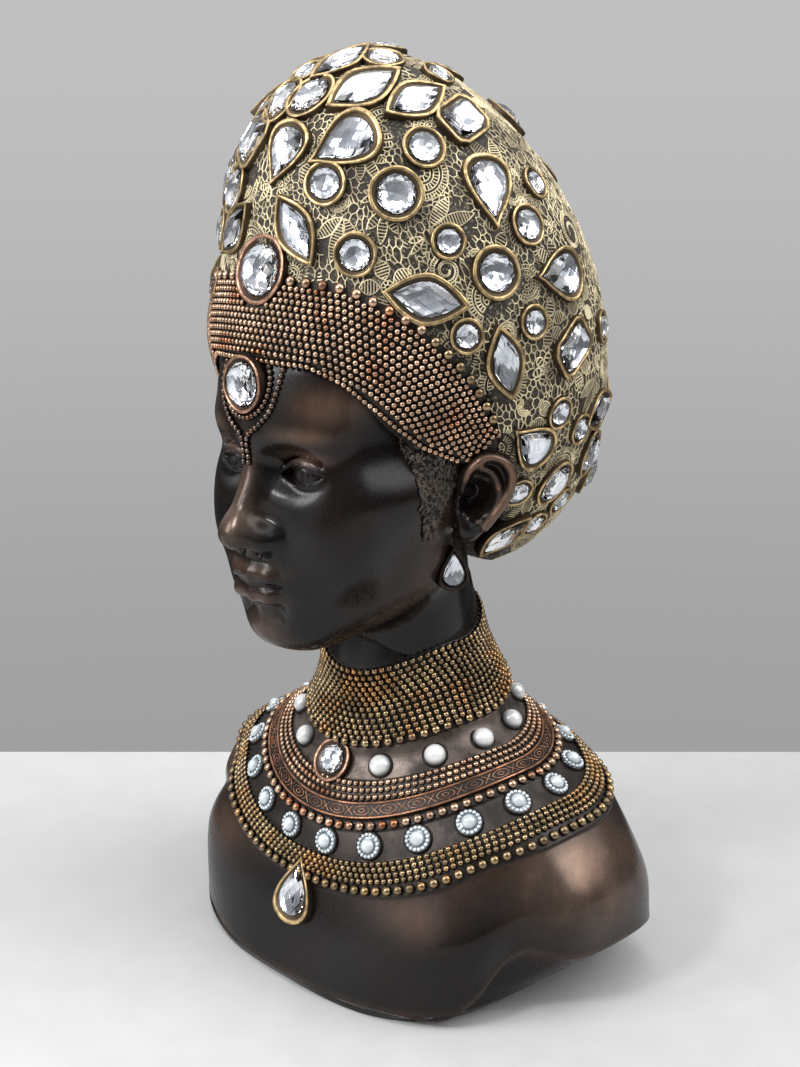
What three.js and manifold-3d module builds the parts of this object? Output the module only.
// Bust of a queen with a tall jewelled crown, a beaded choker and a beaded collar.
// Millimetres, +Z up. The origin is on the floor under the middle of the bust, which faces -Y.
// The figure, its crown, its bezels and its bands are one cast solid. The stones and the
// pearls are glued on, so each one is a mesh of its own.
import * as THREE from 'three';
import { mergeVertices } from 'three/addons/utils/BufferGeometryUtils.js';
import Module from 'manifold-3d';

const wasm = await Module();
wasm.setup();

// Driving sizes of the figure.
const GLUE_GAP = 0.3;
// The whole bust moves back by this much, so that the origin lies under the middle of its box.
const ORIGIN_SHIFT = 1;
const BUST_COLUMNS = 26;
const HEAD_COLUMNS = 32;
const HEAD_ROWS = 25;
const CROWN_COLUMNS = 24;
const CROWN_ROWS = 14;

// Rings of the shoulders and neck, from the foot up. Each has its height at the front, side
// and back, its half width, the middle, front and back of its plan, and its roundness.
const RINGS = [
  { z: [0, 0, 0], half: 61, plan: [6, -54.5, 50], round: [3.2, 2.8] },
  { z: [2.5, 21, 5], half: 87, plan: [16, -56, 57], round: [2.2, 2.8] },
  { z: [20, 40, 28], half: 86, plan: [10, -51, 56], round: [2.4, 2.8] },
  { z: [35, 59, 66], half: 73, plan: [9, -46, 51], round: [2.3, 2.5] },
  { z: [50, 68.5, 76], half: 58.5, plan: [7, -42, 46], round: [2.1, 2.2] },
  { z: [63, 76, 83.5], half: 46, plan: [5, -35.5, 41.5], round: [2, 2.1] },
  { z: [72.5, 81.5, 89.5], half: 36.8, plan: [4.2, -29.5, 38], round: [2, 2] },
  { z: [79, 88.5, 97.5], half: 33.5, plan: [4.5, -28.5, 35.5], round: [2, 2] },
  { z: [90, 100, 110], half: 28.5, plan: [2.5, -25, 30], round: [2, 2] },
  { z: [101.5, 111, 120.5], half: 26, plan: [1, -24.5, 27], round: [2, 2] },
  { z: [118, 124, 132], half: 24, plan: [0, -22, 24], round: [2, 2] },
];

// Bands that stand proud of the skin, measured in rings from the foot.
const BANDS = [
  { name: 'outer bead rows', from: 2.88, to: 3.52, rise: 1.4 },
  { name: 'engraved band between copper beads', from: 4.18, to: 5.34, rise: 1.3 },
  { name: 'choker', from: 6.72, to: 9.0, rise: 1.5 },
];
// A shallow fold in front of each arm, whose foot is lifted where the arm meets the chest.
const ARMPIT = {
  angle: 1.04, width: 0.19, depth: 6, low: 4, high: 62, inward: [0.8, 0.6],
  lift: 4.5, liftFrom: 0.3, liftReach: 1.6,
};

// The crown is an egg whose long axis leans forward.
const CROWN = {
  middle: new THREE.Vector3(0, 7.5, 212.7),
  halfWidth: 60,
  halfDepth: 59.5,
  halfLength: 88.4,
  lean: THREE.MathUtils.degToRad(24.5),
  taper: 0.12,
  browBulge: 9,
};
const CROWN_UP = new THREE.Vector3(0, -Math.sin(CROWN.lean), Math.cos(CROWN.lean));
const CROWN_FRONT = new THREE.Vector3(0, -Math.cos(CROWN.lean), -Math.sin(CROWN.lean));
// Side views of the crown's lower edge and of the headband's upper edge, as depth and height.
const CROWN_EDGE = [
  [-75, 210], [-58, 207.8], [-52, 203], [-47, 197.5], [-39, 189.5], [-31, 183], [-17.6, 176.7],
  [-9, 171], [-5, 167], [5, 156], [15, 143], [28, 131], [45, 124], [70, 120],
];
const HEADBAND_EDGE = [
  [-75, 236], [-50, 229.5], [-37.4, 218.7], [-25, 205], [-13.4, 189], [-9, 181],
];
const HEADBAND_END = [-9, 174];
const HEADBAND_RISE = 1.5;
const SIDE_BLOCK_WIDTH = 150;

// The head is built from blended balls and rods. x is to the side, f is forward, z is up.
const HEAD_MIDDLE = new THREE.Vector3(0, -8, 164);
const SKULL = [
  { ball: [0, 8, 188], size: [38.5, 55, 44], blend: 0 },
  { ball: [0, 28, 160], size: [35, 35, 41], blend: 14 },
  { rod: [[25, 16, 143], [8, 46, 126]], size: [9, 9], blend: 14 },
  { ball: [0, 50.3, 124.6], size: [12.5, 10.5, 8.5], blend: 6 },
  { rod: [[24.5, 43, 166.5], [29, 24, 168]], size: [8.5, 8], blend: 12 },
  { ball: [18.5, 45.5, 153], size: [13, 12, 15], blend: 10 },
  { ball: [0, 37, 198], size: [32, 25, 23], blend: 12 },
  { rod: [[6, 56.6, 184.5], [23, 50.8, 187.5]], size: [4.6, 4], blend: 7 },
  { ball: [46, 42, 188], size: [11, 20, 15], blend: 12, cut: true },
  { ball: [0, 50, 140.8], size: [18.5, 14.4, 14.5], blend: 8 },
  { ball: [15.6, 64.8, 175.8], size: [11.8, 9.4, 7.4], blend: 5, cut: true },
];
const EYES = [
  { ball: [15.6, 50.1, 174.6], size: [9.8, 8.25, 8.4], blend: 1.8 },
];
const NOSE = [
  { rod: [[0, 56, 181.5], [0, 66.6, 160.5]], size: [3.9, 4.9], blend: 0 },
  { ball: [0, 68.6, 156.2], size: [6.6, 6.2, 5.4], blend: 4 },
  { ball: [7, 63.6, 154.6], size: [4.3, 6.2, 4.5], blend: 4 },
];
const LIPS = [
  { rod: [[2, 62.6, 143], [6.6, 61, 142.5]], size: [3.6, 3.2], blend: 1 },
  { rod: [[6.6, 61, 142.5], [12.4, 56.6, 140]], size: [3.2, 1.2], blend: 1.2 },
  { rod: [[2.4, 61.6, 136.3], [6.6, 60.2, 136.9]], size: [4.2, 3.6], blend: 1.2 },
  { rod: [[6.6, 60.2, 136.9], [12, 56.6, 139.1]], size: [3.6, 1.2], blend: 1.2 },
  { rod: [[0, 69.2, 139.6], [10, 63, 139.6]], size: [1, 0.8], blend: 1.2, cut: true },
  { rod: [[0, 64.9, 129.3], [7, 60.9, 130.3]], size: [2.4, 1.6], blend: 5, cut: true },
];
const HAIR = [
  { rod: [[33.5, 21, 180], [33, 12, 158]], size: [10, 5], blend: 2 },
];
const NECK = { halfWidth: 25.5, halfDepth: 24.8, lean: 0.15, level: 108, back: 0.5, top: 150 };
// The crown pushes the top of each ear outward, so that it lies over the crown's edge.
const EAR = { at: [44.1, -11, 165.8], size: [6.5, 10, 15.5], flare: 0.24, lean: 0.2, turn: -0.62 };

// Stones: length, width and height of the stone, and how far its bezel stands out round it.
const STONES = {
  drop: { length: 17.5, width: 12.4, height: 3.4, rim: 2.4, sides: 9 },
  small_drop: { length: 15, width: 11, height: 3.2, rim: 2.2, sides: 9 },
  navette: { length: 18.5, width: 9, height: 3, rim: 2.2, sides: 8 },
  big_navette: { length: 20, width: 10.6, height: 3.2, rim: 2.4, sides: 8 },
  octagon: { length: 13.8, width: 10, height: 3, rim: 2.1, sides: 8 },
  oval: { length: 13, width: 9.6, height: 3, rim: 2, sides: 8 },
  round: { length: 11.6, width: 11.6, height: 3.2, rim: 2.2, sides: 8 },
  queen: { length: 16, width: 16, height: 4.2, rim: 2.6, sides: 12 },
  brow: { length: 13.6, width: 13.6, height: 3.6, rim: 1.8, sides: 9 },
  collar: { length: 10.6, width: 10.6, height: 3, rim: 2.4, sides: 9 },
  pendant: { length: 17, width: 12, height: 3.4, rim: 2.6, sides: 9 },
  earring: { length: 10.6, width: 7.2, height: 2.4, rim: 1.6, sides: 9 },
};
const BEZEL_HEIGHT = 1.5;
const BEZEL_ROOT = 4;
// Room kept clear above each bezel for its stone.
const ROOM_HEIGHT = 6;

// Crown stones: kind, height angle, side angle from the front, and turn from level.
const CROWN_STONES = [
  ['queen', 31, 0, 90],
  ['drop', 55.8, 43, -167], ['navette', 39, 16, 116], ['round', 41, 57, 0],
  ['big_navette', 69, 68, 3], ['navette', 58.5, 90, -8], ['octagon', 48, 103, -5],
  ['drop', 33, 90, -120], ['round', 19, 77, 0], ['drop', 11, 99, 155],
  ['octagon', -3, 94, 15], ['big_navette', 20, 54, -29], ['navette', 3, 69, 82],
  ['navette', -23, 106, -8], ['small_drop', -17, 71, 121], ['oval', -32, 79, 39],
  ['oval', -33, 101, 70], ['navette', -43, 56, 35],
  ['navette', 84, 76, 7], ['oval', 72, 21, 40], ['small_drop', 56.5, 9, -109],
  ['octagon', 59, -24, -110], ['oval', 71, -12, 82], ['oval', 46, -27, 67],
  ['navette', 38, -20, 50],
  ['navette', 61, -84, 188], ['round', 42, -58, 0], ['octagon', 47, -104, 5],
  ['drop', 32, -87, -60], ['round', 19, -74, 0], ['drop', 10, -98, 46],
  ['big_navette', 21, -51, 209], ['navette', 2, -70, 98], ['octagon', -4, -93, 165],
  ['navette', -23, -105, 188], ['small_drop', -17, -72, 59], ['navette', -43, -57, 145],
  ['drop', 36, 178, -80], ['drop', 34, -140, -100], ['big_navette', 15, 180, 90],
  ['oval', -8, 150, 60], ['octagon', -10, -142, 110],
];
const COLLAR_STONE = { ring: 5.75, angle: 0 };
const PENDANT = { ring: 2.62, angle: 0 };
const BROW_STONE = { height: 201, tilt: 0.05 };
const EARRING = { at: [37.5, -14.5, 141.5], out: [0.93, -0.36, 0.05] };
const PEARL = { count: 13, radius: 4.4, ring: 5.78, sides: 8 };

const PAINTS = {
  bronze: new THREE.MeshStandardMaterial({ color: 0x2a1c16, roughness: 0.42, metalness: 0.35 }),
  stone: new THREE.MeshStandardMaterial({ color: 0xdfe4ea, roughness: 0.05, metalness: 0 }),
  pearl: new THREE.MeshStandardMaterial({ color: 0xd7dde0, roughness: 0.22, metalness: 0 }),
};

// Turns a closed geometry into a solid that can be joined.
function toSolid(geometry) {
  const bare = geometry.clone();
  bare.deleteAttribute('normal');
  bare.deleteAttribute('uv');
  const merged = mergeVertices(bare, 1e-4);
  return new wasm.Manifold(new wasm.Mesh({
    numProp: 3,
    vertProperties: new Float32Array(merged.attributes.position.array),
    triVerts: new Uint32Array(merged.index.array),
  }));
}

function toGeometry(solid) {
  const mesh = solid.getMesh();
  const geometry = new THREE.BufferGeometry();
  geometry.setAttribute('position', new THREE.BufferAttribute(mesh.vertProperties, 3));
  geometry.setIndex(new THREE.BufferAttribute(mesh.triVerts, 1));
  geometry.computeVertexNormals();
  return geometry;
}

// Closed skin through rows of points, each row a loop, with a middle point at each end.
function skin(rows) {
  const count = rows[0].length;
  const points = rows.flat();
  const faces = [];
  for (let r = 0; r + 1 < rows.length; r += 1) {
    for (let c = 0; c < count; c += 1) {
      const next = (c + 1) % count;
      const a = r * count + c;
      const b = r * count + next;
      faces.push(a, b, b + count, a, b + count, a + count);
    }
  }
  const middle = (row) => row.reduce((sum, p) => sum.add(p), new THREE.Vector3())
    .divideScalar(row.length);
  const low = points.push(middle(rows[0])) - 1;
  const high = points.push(middle(rows[rows.length - 1])) - 1;
  const top = (rows.length - 1) * count;
  for (let c = 0; c < count; c += 1) {
    const next = (c + 1) % count;
    faces.push(low, next, c);
    faces.push(high, top + c, top + next);
  }
  const geometry = new THREE.BufferGeometry().setFromPoints(points);
  geometry.setIndex(faces);
  return geometry;
}

// Smooth value between ring table rows at a fractional place. The second ring is a sharp edge.
function between(table, place, read) {
  const last = table.length - 1;
  const i = Math.min(Math.max(Math.floor(place), 0), last - 1);
  const t = place - i;
  const at = (k) => read(table[k]);
  const p1 = at(i);
  const p2 = at(i + 1);
  const p0 = i > 1 ? at(i - 1) : 2 * p1 - p2;
  const p3 = i > 0 && i + 2 <= last ? at(i + 2) : 2 * p2 - p1;
  return 0.5 * (2 * p1 + (p2 - p0) * t + (2 * p0 - 5 * p1 + 4 * p2 - p3) * t * t
    + (3 * p1 - p0 - 3 * p2 + p3) * t * t * t);
}

function smoothStep(value, low, high) {
  const t = Math.min(Math.max((value - low) / (high - low), 0), 1);
  return t * t * (3 - 2 * t);
}

// Point on the shoulders or neck. The angle is zero at the front and grows to the figure's left.
function bustPoint(place, angle) {
  const value = (read) => between(RINGS, place, read);
  const cos = Math.cos(angle);
  const sin = Math.sin(angle);
  const mix = 0.5 + 0.5 * Math.min(Math.max(cos * 2, -1), 1);
  const backRound = value((r) => r.round[1]);
  const power = 2 / (backRound + (value((r) => r.round[0]) - backRound) * mix);
  const middle = value((r) => r.plan[0]);
  const reach = cos > 0 ? middle - value((r) => r.plan[1]) : value((r) => r.plan[2]) - middle;
  const side = value((r) => r.z[1]);
  const end = value((r) => (cos > 0 ? r.z[0] : r.z[2]));
  const edge = Math.max(0, 1 - Math.abs(place - 1));
  const even = cos * cos;
  const steep = cos > 0 ? smoothStep(even, 0.15, 0.62) : even;
  const point = new THREE.Vector3(
    value((r) => r.half) * Math.sign(sin) * Math.abs(sin) ** power,
    middle - reach * Math.sign(cos) * Math.abs(cos) ** power,
    side + (end - side) * (even + (steep - even) * edge),
  );
  const turned = (Math.abs(angle) - ARMPIT.angle) / ARMPIT.width;
  const toEdge = ARMPIT.liftReach - Math.abs(place - 1);
  const nearEdge = place > ARMPIT.liftFrom ? Math.min(Math.max(toEdge, 0), 1) : 0;
  point.z += ARMPIT.lift * Math.exp(-turned * turned) * nearEdge;
  const band = smoothStep(point.z, ARMPIT.low, 20) * (1 - smoothStep(point.z, 40, ARMPIT.high));
  const dent = ARMPIT.depth * Math.exp(-turned * turned) * band;
  point.x -= Math.sign(sin) * dent * ARMPIT.inward[0];
  point.y += dent * ARMPIT.inward[1];
  return point;
}

// Outward direction at a place on a surface that is given by two numbers.
function outward(surface, u, v, inside) {
  const step = 0.01;
  const du = surface(u + step, v).sub(surface(u - step, v));
  const dv = surface(u, v + step).sub(surface(u, v - step));
  const normal = du.cross(dv).normalize();
  return normal.dot(surface(u, v).sub(inside)) < 0 ? normal.negate() : normal;
}

const BUST_INSIDE = new THREE.Vector3(0, 5, 60);

function bustRow(place, rise) {
  const row = [];
  for (let c = 0; c < BUST_COLUMNS; c += 1) {
    const angle = (c / BUST_COLUMNS) * 2 * Math.PI;
    const wrapped = angle > Math.PI ? angle - 2 * Math.PI : angle;
    const point = bustPoint(place, wrapped);
    if (rise > 0) {
      const inside = new THREE.Vector3(0, 5, point.z - 5);
      point.addScaledVector(outward(bustPoint, place, wrapped, inside), rise);
    }
    row.push(point);
  }
  return row;
}

function makeBust() {
  const rows = [];
  const plain = [0, 0.5, 1, 1.25, 1.6, 2, 2.45, 3.85, 4.75, 6];
  plain.forEach((place) => rows.push([place, place === 4.75 ? 1.3 : 0]));
  BANDS.forEach((band) => {
    rows.push([band.from - 0.02, 0], [band.from, band.rise], [band.to, band.rise]);
    rows.push([band.to + 0.02, 0]);
  });
  [7.8].forEach((place) => rows.push([place, 1.5]));
  rows.push([10, 0]);
  rows.sort((a, b) => a[0] - b[0]);
  return skin(rows.map(([place, rise]) => bustRow(place, rise)));
}

function crownPoint(lat, lon) {
  const narrow = 1 - CROWN.taper * Math.max(Math.sin(lat), 0) ** 1.6 * Math.cos(lat);
  const point = CROWN.middle.clone();
  point.x += CROWN.halfWidth * narrow * Math.cos(lat) * Math.sin(lon);
  point.addScaledVector(CROWN_FRONT, CROWN.halfDepth * narrow * Math.cos(lat) * Math.cos(lon));
  point.addScaledVector(CROWN_UP, CROWN.halfLength * Math.sin(lat));
  const around = Math.atan2(point.x, CROWN.middle.y - point.y);
  const low = smoothStep(240 - point.z, 0, 33);
  const bulge = CROWN.browBulge * Math.exp(-((around / 0.87) ** 2)) * low;
  point.x += bulge * Math.sin(around);
  point.y -= bulge * Math.cos(around);
  return point;
}

function crownNormal(lat, lon) {
  return outward(crownPoint, lat, lon, CROWN.middle);
}

// Closed egg that stands a little proud of the crown's surface.
function makeEgg(rise) {
  const rows = [];
  for (let r = 1; r < CROWN_ROWS; r += 1) {
    const lat = (r / CROWN_ROWS - 0.5) * Math.PI;
    const row = [];
    for (let c = 0; c < CROWN_COLUMNS; c += 1) {
      const lon = (c / CROWN_COLUMNS) * 2 * Math.PI;
      const point = crownPoint(lat, lon);
      row.push(rise > 0 ? point.addScaledVector(crownNormal(lat, lon), rise) : point);
    }
    rows.push(row);
  }
  return skin(rows);
}

// Wide block whose side view is an outline of depths and heights.
function sideBlock(points) {
  const shape = new THREE.Shape(points.map(([depth, height]) => new THREE.Vector2(depth, height)));
  const block = new THREE.ExtrudeGeometry(shape, { depth: SIDE_BLOCK_WIDTH, bevelEnabled: false });
  block.translate(0, 0, -SIDE_BLOCK_WIDTH / 2);
  const turn = new THREE.Matrix4().makeBasis(
    new THREE.Vector3(0, 1, 0),
    new THREE.Vector3(0, 0, 1),
    new THREE.Vector3(1, 0, 0),
  );
  return toSolid(block.applyMatrix4(turn));
}

function makeCrown() {
  const below = sideBlock([...CROWN_EDGE, [90, 60], [-90, 60], [-90, 210]]);
  const front = CROWN_EDGE.filter(([depth]) => depth < HEADBAND_END[0]);
  const band = sideBlock([...front, HEADBAND_END, ...[...HEADBAND_EDGE].reverse()]);
  return toSolid(makeEgg(0)).subtract(below)
    .add(toSolid(makeEgg(HEADBAND_RISE)).intersect(band));
}

// Distance to a ball that may be longer one way than another.
function toBall(p, at, size) {
  const q = p.map((value, i) => value - at[i]);
  const near = Math.hypot(...q.map((value, i) => value / size[i])) + 1e-9;
  const far = Math.hypot(...q.map((value, i) => value / size[i] ** 2)) + 1e-9;
  return (near * (near - 1)) / far;
}

function toRod(p, ends, size) {
  const [a, b] = ends;
  const along = b.map((value, i) => value - a[i]);
  const q = p.map((value, i) => value - a[i]);
  const dot = (u, v) => u.reduce((sum, value, i) => sum + value * v[i], 0);
  const t = Math.min(Math.max(dot(q, along) / dot(along, along), 0), 1);
  return Math.hypot(...q.map((value, i) => value - t * along[i])) - size[0]
    - (size[1] - size[0]) * t;
}

function blendMin(a, b, amount) {
  if (amount === 0) {
    return Math.min(a, b);
  }
  const h = Math.min(Math.max(0.5 + (0.5 * (b - a)) / amount, 0), 1);
  return b + (a - b) * h - amount * h * (1 - h);
}

function blendMax(a, b, amount) {
  return -blendMin(-a, -b, amount);
}

function blendForms(p, forms, start) {
  return forms.reduce((sum, form) => {
    const d = form.ball ? toBall(p, form.ball, form.size) : toRod(p, form.rod, form.size);
    if (form.cut) {
      return blendMax(sum, -d, form.blend);
    }
    return sum === Infinity ? d : blendMin(sum, d, form.blend);
  }, start);
}

function toHead(point) {
  const p = [Math.abs(point.x), -point.y, point.z];
  let d = blendForms(p, SKULL, Infinity);
  d = blendForms(p, EYES, d);
  d = blendMin(d, blendForms(p, NOSE, Infinity), 5);
  d = blendForms(p, LIPS, d);
  d = blendForms(p, HAIR, d);
  const middle = (p[2] - NECK.level) * NECK.lean - NECK.back;
  const around = Math.hypot(p[0] / NECK.halfWidth, (p[1] - middle) / NECK.halfDepth);
  const neck = blendMax((around - 1) * NECK.halfWidth, p[2] - NECK.top, 8);
  return blendMin(d, neck, 8);
}

// Values from low to high that crowd round zero, where the face is.
function crowd(count, low, high, width, density) {
  const steps = 600;
  const sums = [0];
  for (let i = 1; i <= steps; i += 1) {
    const value = low + ((high - low) * (i - 0.5)) / steps;
    sums.push(sums[i - 1] + 1 + (density - 1) * Math.exp(-(Math.abs(value / width) ** 2.5)));
  }
  const values = [];
  let k = 0;
  for (let n = 0; n < count; n += 1) {
    const goal = (sums[steps] * n) / (count - 1);
    while (k < steps - 1 && sums[k + 1] < goal) {
      k += 1;
    }
    const t = (goal - sums[k]) / (sums[k + 1] - sums[k]);
    values.push(low + ((high - low) * (k + t)) / steps);
  }
  return values;
}

function makeHead() {
  const around = crowd(HEAD_COLUMNS + 1, -Math.PI, Math.PI, 0.62, 6).slice(0, HEAD_COLUMNS);
  const up = crowd(HEAD_ROWS, -1.22, 1.45, 0.55, 3);
  const rows = up.map((lat) => around.map((lon) => {
    const way = new THREE.Vector3(
      Math.sin(lon) * Math.cos(lat),
      -Math.cos(lon) * Math.cos(lat),
      Math.sin(lat),
    );
    let reach = 100;
    for (let i = 0; i < 40; i += 1) {
      reach -= 0.8 * toHead(HEAD_MIDDLE.clone().addScaledVector(way, reach));
    }
    return HEAD_MIDDLE.clone().addScaledVector(way, Math.max(reach, 5));
  }));
  return skin(rows);
}

function makeEar(side) {
  const bowl = new THREE.SphereGeometry(1, 8, 6);
  const cup = bowl.clone();
  bowl.scale(EAR.size[0], EAR.size[1], EAR.size[2]);
  cup.scale(EAR.size[0] * 0.8, EAR.size[1] * 0.66, EAR.size[2] * 0.66);
  cup.translate(EAR.size[0] * 0.8, 1, 2);
  let solid = toSolid(bowl).subtract(toSolid(cup));
  const geometry = toGeometry(solid);
  geometry.rotateY(EAR.flare);
  geometry.rotateX(-EAR.lean);
  geometry.rotateZ(EAR.turn);
  geometry.translate(...EAR.at);
  if (side < 0) {
    geometry.scale(-1, 1, 1);
    const index = geometry.index.array;
    for (let i = 0; i < index.length; i += 3) {
      [index[i + 1], index[i + 2]] = [index[i + 2], index[i + 1]];
    }
  }
  solid = toSolid(geometry);
  return solid;
}

// Outline of a stone, its long way along +Y, grown by a margin.
function outline(kind, margin) {
  const stone = STONES[kind];
  const long = stone.length / 2 + margin;
  const wide = stone.width / 2 + margin;
  if (kind === 'octagon') {
    const cut = 0.34 * wide;
    return [
      [wide, -long + cut * 1.3], [wide, long - cut * 1.3], [wide - cut, long], [cut - wide, long],
      [-wide, long - cut * 1.3], [-wide, cut * 1.3 - long], [cut - wide, -long], [wide - cut, -long],
    ];
  }
  const tip = margin > 0 ? 1 + margin * 0.25 / long : 1;
  const points = [];
  for (let i = 0; i < stone.sides; i += 1) {
    const t = (i / stone.sides) * 2 * Math.PI;
    const up = Math.cos(t);
    let side = Math.sin(t);
    if (kind.endsWith('drop') || kind === 'pendant' || kind === 'earring') {
      side *= 1.28 * Math.sin(t / 2) ** 1.4;
      points.push([-wide * side, (up > 0.9 ? long * tip : long) * up]);
    } else if (kind.endsWith('navette')) {
      side = Math.sign(side) * (1 - Math.abs(up) ** 1.7);
      points.push([-wide * side, long * tip * up]);
    } else {
      points.push([-wide * side, long * up]);
    }
  }
  return points;
}

// Plate with upright sides, or with sides that lean in to a smaller top.
function plate(points, low, high, top) {
  const ring = (z, size) => points.map(([x, y]) => new THREE.Vector3(x * size, y * size, z));
  return skin([ring(low, 1), ring(high, top)]);
}

// Frame of a stone that lies on a surface: its up is the surface's outward way.
function placeOn(point, normal, long) {
  const side = new THREE.Vector3().crossVectors(long, normal).normalize();
  const up = new THREE.Vector3().crossVectors(normal, side).normalize();
  return new THREE.Matrix4().makeBasis(side, up, normal).setPosition(point);
}

function crownFrame(lat, lon, turn) {
  const point = crownPoint(lat, lon);
  const normal = crownNormal(lat, lon);
  const north = crownPoint(lat + 0.01, lon).sub(crownPoint(lat - 0.01, lon)).normalize();
  const east = new THREE.Vector3().crossVectors(north, normal).normalize();
  const long = east.multiplyScalar(Math.cos(turn)).addScaledVector(north, Math.sin(turn));
  return placeOn(point, normal, long);
}

function bustFrame(ring, angle, sink) {
  const point = bustPoint(ring, angle);
  const normal = outward(bustPoint, ring, angle, new THREE.Vector3(0, 5, point.z - 5));
  point.addScaledVector(normal, -sink);
  return placeOn(point, normal, new THREE.Vector3(0, 0, 1));
}

const toRadians = THREE.MathUtils.degToRad;
const headFront = (z) => {
  let y = -90;
  for (let i = 0; i < 40; i += 1) {
    y += 0.8 * toHead(new THREE.Vector3(0, y, z));
  }
  return y;
};
const pearlFrames = [];
for (let i = 1; i < PEARL.count; i += 1) {
  const angle = (i / PEARL.count) * 2 * Math.PI;
  const wrapped = angle > Math.PI ? angle - 2 * Math.PI : angle;
  pearlFrames.push(bustFrame(PEARL.ring, wrapped, -GLUE_GAP - 0.5));
}
const settings = CROWN_STONES.map(([kind, lat, lon, turn], i) => ({
  kind,
  name: kind === 'queen' ? 'crown_front_stone' : `crown_${kind}_stone_${String(i).padStart(2, '0')}`,
  frame: crownFrame(toRadians(lat), toRadians(lon), toRadians(turn)),
}));
settings.push({
  kind: 'brow',
  name: 'forehead_stone',
  frame: placeOn(
    new THREE.Vector3(0, headFront(BROW_STONE.height) - 0.6, BROW_STONE.height),
    new THREE.Vector3(0, -Math.cos(BROW_STONE.tilt), Math.sin(BROW_STONE.tilt)),
    new THREE.Vector3(0, 0, 1),
  ),
});
settings.push({ kind: 'collar', name: 'choker_stone', frame: bustFrame(COLLAR_STONE.ring, 0, -0.8) });
settings.push({ kind: 'pendant', name: 'pendant_stone', frame: bustFrame(PENDANT.ring, 0, -1) });
[['left', 1], ['right', -1]].forEach(([word, side]) => settings.push({
  kind: 'earring',
  name: `${word}_earring_stone`,
  frame: placeOn(
    new THREE.Vector3(side * EARRING.at[0], EARRING.at[1], EARRING.at[2]),
    new THREE.Vector3(side * EARRING.out[0], EARRING.out[1], EARRING.out[2]).normalize(),
    new THREE.Vector3(0, 0, 1),
  ),
}));

function makeCasting() {
  let solid = toSolid(makeBust());
  solid = solid.add(toSolid(makeHead()));
  solid = solid.add(makeCrown());
  solid = solid.add(makeEar(1)).add(makeEar(-1));
  settings.forEach(({ kind, frame }) => {
    const bezel = plate(outline(kind, STONES[kind].rim), -BEZEL_ROOT, BEZEL_HEIGHT, 0.97);
    bezel.applyMatrix4(frame);
    solid = solid.add(toSolid(bezel));
  });
  settings.forEach(({ kind, frame }) => {
    const room = plate(outline(kind, GLUE_GAP), BEZEL_HEIGHT + 0.02, ROOM_HEIGHT, 1);
    room.applyMatrix4(frame);
    solid = solid.subtract(toSolid(room));
  });
  const reach = PEARL.radius + GLUE_GAP;
  const circle = [];
  for (let i = 0; i < PEARL.sides; i += 1) {
    const t = (i / PEARL.sides) * 2 * Math.PI;
    circle.push([reach * Math.cos(t), reach * Math.sin(t)]);
  }
  pearlFrames.forEach((frame) => {
    const room = plate(circle, -GLUE_GAP, ROOM_HEIGHT, 1);
    room.applyMatrix4(frame);
    solid = solid.subtract(toSolid(room));
  });
  return toGeometry(solid);
}

function makeStone(kind) {
  const low = BEZEL_HEIGHT + GLUE_GAP;
  return plate(outline(kind, 0), low, low + STONES[kind].height - BEZEL_HEIGHT, 0.62);
}

// A pearl with its back cut flat.
function makePearl() {
  const rows = [0.02, 0.8].map((lat) => {
    const row = [];
    for (let i = 0; i < PEARL.sides; i += 1) {
      const t = (i / PEARL.sides) * 2 * Math.PI;
      row.push(new THREE.Vector3(
        PEARL.radius * Math.cos(lat) * Math.cos(t),
        PEARL.radius * Math.cos(lat) * Math.sin(t),
        PEARL.radius * Math.sin(lat),
      ));
    }
    return row;
  });
  return skin(rows);
}

const bust = new THREE.Group();
bust.position.y = ORIGIN_SHIFT;

function addMesh(name, geometry, paint, frame) {
  const mesh = new THREE.Mesh(geometry, paint);
  mesh.name = name;
  if (frame) {
    mesh.applyMatrix4(frame);
  }
  bust.add(mesh);
}

addMesh('figure', makeCasting(), PAINTS.bronze);
settings.forEach(({ kind, name, frame }) => addMesh(name, makeStone(kind), PAINTS.stone, frame));
pearlFrames.forEach((frame, i) => {
  addMesh(`neck_pearl_${String(i + 1).padStart(2, '0')}`, makePearl(), PAINTS.pearl, frame);
});

export default bust;
